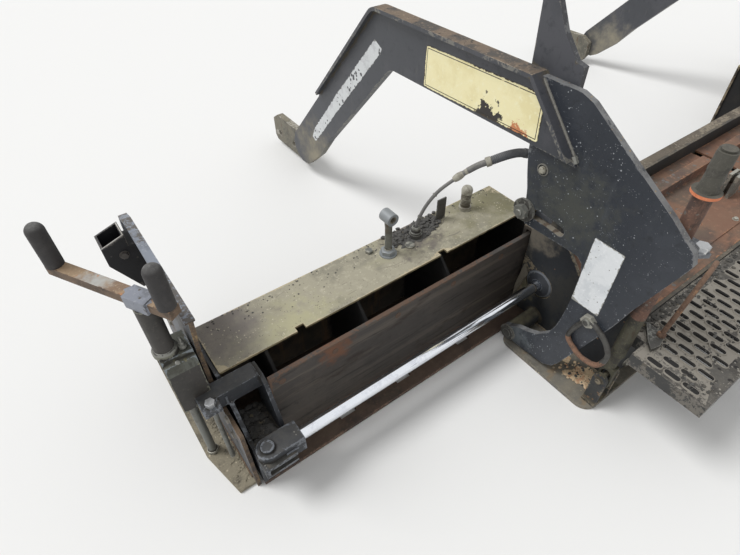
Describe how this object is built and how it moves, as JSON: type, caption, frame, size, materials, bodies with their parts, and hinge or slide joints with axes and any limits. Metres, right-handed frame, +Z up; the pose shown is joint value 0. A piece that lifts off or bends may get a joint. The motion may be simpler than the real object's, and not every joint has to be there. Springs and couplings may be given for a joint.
{
  "type": "asphalt paver screed",
  "caption": "Extending screed of an asphalt paver, with sliding side extensions on chrome rods, end gates on screw jacks, bent tow arms and a rear walkway.",
  "frame": {"origin": "centre of the bounding box at the underside of the screed plates", "axes": "+X along the screed to its right end as seen from behind, +Y forward along the tow arms, +Z up"},
  "size_m": [4.8418, 2.451, 1.194],
  "materials": {
    "plate_steel": "worn steel with rust and asphalt stain",
    "black_paint": "worn black paint, dusty",
    "bare_steel": "weathered bare steel",
    "rusty_deck": "rusted plate with black and olive stains",
    "olive_paint": "dull olive grey, asphalt film",
    "walkway_steel": "worn dark grey",
    "slide_steel": "dark brown worn steel with rust streaks",
    "weathered_deck": "weathered grey olive with lichen tint",
    "chrome": "polished chrome",
    "crank_steel": "tan rusted flat bar",
    "grip_rubber": "dark grey matt rubber",
    "cable_jacket": "grey cable jacket",
    "gate_steel": "blue grey paint worn to tan rust",
    "arm_paint": "blue charcoal gloss with pale specks",
    "gray_paint": "grey paint",
    "jack_steel": "rusted tube with orange washer"
  },
  "bodies": {
    "main": {"main_plate": "plate_steel", "main_frame": "black_paint", "gib_rails": "bare_steel", "main_deck": "rusty_deck", "cylinder_barrels": "black_paint", "pivot_pins": "olive_paint", "guide_bolts": "bare_steel", "walkway": "walkway_steel", "walkway_frame": "black_paint", "crown_turnbuckle": "bare_steel"},
    "ext_left": {"left_ext_plate": "plate_steel", "left_ext_frame": "slide_steel", "left_ext_deck": "weathered_deck", "left_ext_end": "black_paint", "left_rod": "chrome", "left_jack_block": "olive_paint", "left_crank": "crank_steel", "left_crank_grips": "grip_rubber", "left_deck_fittings": "bare_steel", "left_cable": "cable_jacket"},
    "gate_left": {"left_gate_plate": "gate_steel", "left_gate_pocket": "black_paint", "left_gate_screw": "bare_steel"},
    "arm_left": {"left_arm_plate": "arm_paint", "left_arm_beam": "arm_paint", "left_tow_coupler": "gray_paint", "left_depth_jack": "jack_steel"},
    "ext_right": {"right_ext_plate": "plate_steel", "right_ext_frame": "slide_steel", "right_ext_deck": "weathered_deck", "right_ext_end": "black_paint", "right_rod": "chrome", "right_jack_block": "olive_paint", "right_crank": "crank_steel", "right_crank_grips": "grip_rubber", "right_deck_fittings": "bare_steel", "right_cable": "cable_jacket"},
    "gate_right": {"right_gate_plate": "gate_steel", "right_gate_pocket": "black_paint", "right_gate_screw": "bare_steel"},
    "arm_right": {"right_arm_plate": "arm_paint", "right_arm_beam": "arm_paint", "right_tow_coupler": "gray_paint", "right_depth_jack": "jack_steel"}
  },
  "joints": [
    {"name": "extend_left", "type": "slide", "parent": "main", "child": "ext_left", "axis": [1, 0, 0], "range_m": [-0.025, 0.95]},
    {"name": "end_gate_left", "type": "slide", "parent": "ext_left", "child": "gate_left", "axis": [0, 0, 1], "range_m": [-0.1, 0.01]},
    {"name": "arm_tilt_left", "type": "hinge", "parent": "main", "child": "arm_left", "pos_m": [-1.19, -0.6065, 0.05], "axis": [1, 0, 0], "range_deg": [-0.5, 3]},
    {"name": "extend_right", "type": "slide", "parent": "main", "child": "ext_right", "axis": [-1, 0, 0], "range_m": [-0.025, 0.95]},
    {"name": "end_gate_right", "type": "slide", "parent": "ext_right", "child": "gate_right", "axis": [0, 0, 1], "range_m": [-0.1, 0.01]},
    {"name": "arm_tilt_right", "type": "hinge", "parent": "main", "child": "arm_right", "pos_m": [1.19, -0.6065, 0.05], "axis": [1, 0, 0], "range_deg": [-0.5, 3]}
  ]
}
